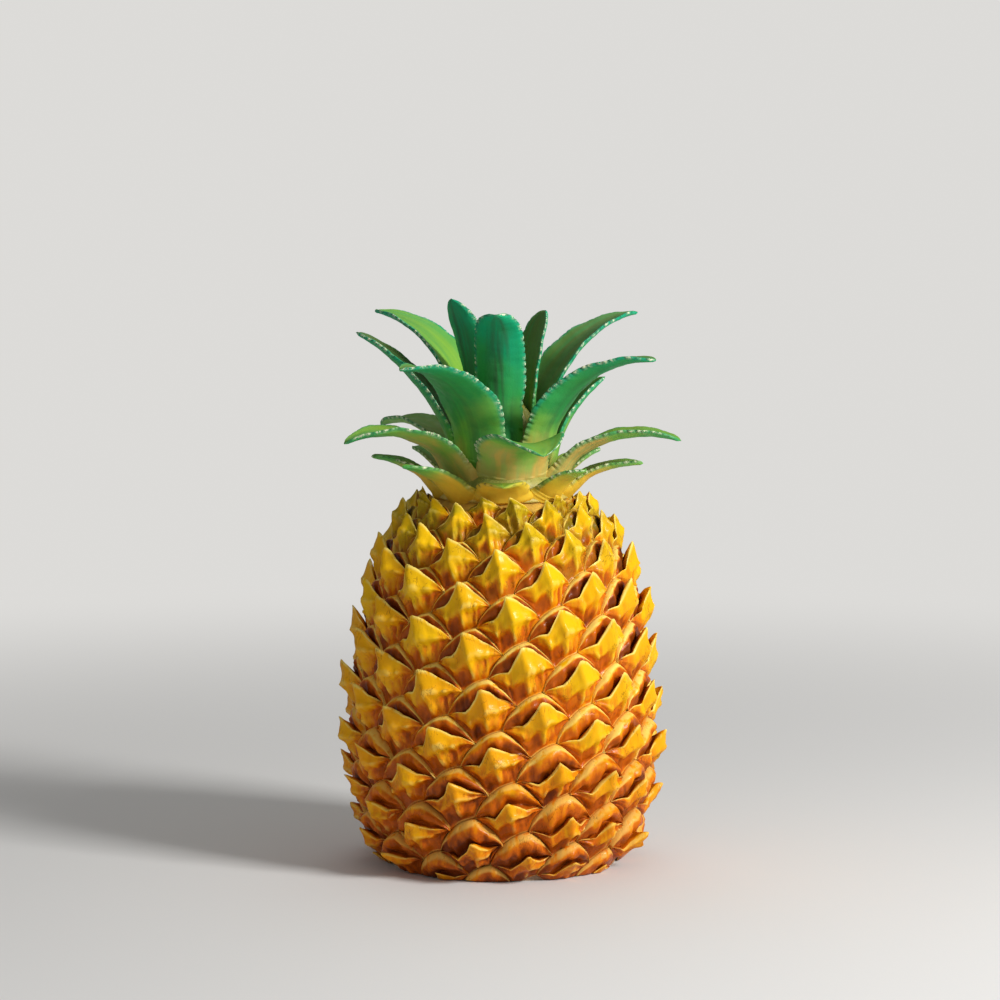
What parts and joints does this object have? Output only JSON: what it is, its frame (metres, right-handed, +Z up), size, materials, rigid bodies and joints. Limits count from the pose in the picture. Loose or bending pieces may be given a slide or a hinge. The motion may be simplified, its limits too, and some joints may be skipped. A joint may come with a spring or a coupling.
{
  "type": "pineapple figurine",
  "caption": "Free-standing painted ceramic pineapple ornament with raised fruitlets and a crown of curved leaves.",
  "frame": {"origin": "centre of the foot, on the surface that the ornament stands on", "axes": "+Z up along the axis of the body, -Y towards the front of the ornament, +X to its right as seen from the front"},
  "size_m": [0.1383, 0.1353, 0.2322],
  "materials": {
    "fruitlet_paint": "satin",
    "leaf_paint": "satin",
    "stem_paint": "satin",
    "core_paint": "satin",
    "bare_foot": "matte"
  },
  "bodies": {
    "root": {"base_disc": "bare_foot", "body_core": "core_paint", "crown_stem": "stem_paint", "fruitlet_column_01": "fruitlet_paint", "fruitlet_column_02": "fruitlet_paint", "fruitlet_column_03": "fruitlet_paint", "fruitlet_column_04": "fruitlet_paint", "fruitlet_column_05": "fruitlet_paint", "fruitlet_column_06": "fruitlet_paint", "fruitlet_column_07": "fruitlet_paint", "fruitlet_column_08": "fruitlet_paint", "fruitlet_column_09": "fruitlet_paint", "fruitlet_column_10": "fruitlet_paint", "fruitlet_column_11": "fruitlet_paint", "fruitlet_column_12": "fruitlet_paint", "fruitlet_column_13": "fruitlet_paint", "fruitlet_column_14": "fruitlet_paint", "fruitlet_column_15": "fruitlet_paint", "fruitlet_column_16": "fruitlet_paint", "fruitlet_column_17": "fruitlet_paint", "fruitlet_column_18": "fruitlet_paint", "leaf_heart_back": "leaf_paint", "leaf_heart_front": "leaf_paint", "leaf_heart_left": "leaf_paint", "leaf_heart_right": "leaf_paint", "leaf_low_back": "leaf_paint", "leaf_low_back_left": "leaf_paint", "leaf_low_back_right": "leaf_paint", "leaf_low_front": "leaf_paint", "leaf_low_front_left": "leaf_paint", "leaf_low_front_right": "leaf_paint", "leaf_low_left": "leaf_paint", "leaf_low_right": "leaf_paint", "leaf_middle_back": "leaf_paint", "leaf_middle_front_left": "leaf_paint", "leaf_middle_left": "leaf_paint", "leaf_middle_right": "leaf_paint", "leaf_middle_right_front": "leaf_paint", "leaf_outer_back": "leaf_paint", "leaf_outer_back_left": "leaf_paint", "leaf_outer_front": "leaf_paint", "leaf_outer_left": "leaf_paint", "leaf_outer_right": "leaf_paint", "leaf_upper_left": "leaf_paint", "leaf_upper_right": "leaf_paint"}
  },
  "joints": []
}
